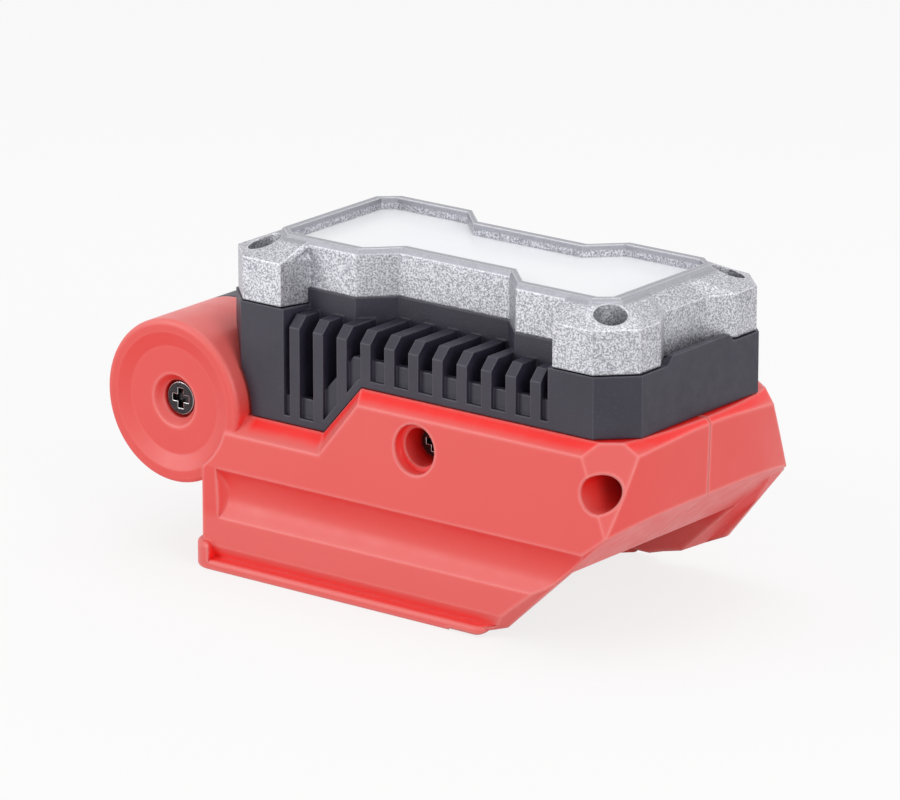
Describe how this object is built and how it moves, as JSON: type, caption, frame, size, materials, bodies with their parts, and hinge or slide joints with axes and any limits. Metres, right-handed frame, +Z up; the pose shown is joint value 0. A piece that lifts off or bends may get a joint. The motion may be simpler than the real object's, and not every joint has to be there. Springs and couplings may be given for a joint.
{
  "type": "power tool usb battery adapter",
  "caption": "Slide-on battery adapter with a red clamshell base, USB outlets in its side and a finned flood light head that tilts up on a barrel hinge.",
  "frame": {"origin": "middle of the footprint, on the plane that the foot stands on", "axes": "+X along the adapter to its nose, away from the hinge barrel; -Y to the plain side; +Z up through the lens"},
  "size_m": [0.1486, 0.072, 0.0798],
  "materials": {
    "red_plastic": "satin",
    "black_casting": "black powder coat",
    "silver_casting": "fine cast speckle",
    "frosted_lens": "frosted",
    "black_steel": "black oxide",
    "bright_steel": "satin",
    "plated_brass": "bright",
    "black_plastic": "fine texture",
    "white_plastic": "satin",
    "circuit_board": "solder mask",
    "dark_rubber": "matte",
    "capacitor_can": "sleeved can",
    "led_yellow": "phosphor"
  },
  "bodies": {
    "base": {"housing_near": "red_plastic", "housing_far": "red_plastic", "housing_screws": "black_steel", "hinge_shaft": "bright_steel", "hinge_screws": "black_steel", "hinge_washers": "white_plastic", "terminal_block": "black_plastic", "terminal_blades": "plated_brass", "main_board": "circuit_board", "power_inductor": "black_plastic", "capacitors": "capacitor_can", "converter_chips": "black_plastic", "port_insert": "black_plastic", "usb_a_shell": "bright_steel", "usb_a_tongue": "white_plastic", "usb_c_shell": "bright_steel", "usb_c_tongue": "black_plastic", "button_switch": "black_plastic"},
    "button": {"power_button": "dark_rubber", "switch_plunger": "white_plastic"},
    "head": {"heatsink": "black_casting", "bezel": "silver_casting", "bezel_screws": "bright_steel", "led_board": "white_plastic", "leds": "led_yellow", "led_driver": "circuit_board", "reflector": "white_plastic", "lens_gasket": "dark_rubber", "lens": "frosted_lens"}
  },
  "joints": [
    {"name": "head_tilt", "type": "hinge", "parent": "base", "child": "head", "pos_m": [-0.05475, 0, 0.0382], "axis": [0, -1, 0], "range_deg": [0, 120]},
    {"name": "power_button_press", "type": "slide", "parent": "base", "child": "button", "axis": [0, -1, 0], "range_m": [0, 0.0008], "stiffness_N_per_m": 1500}
  ]
}
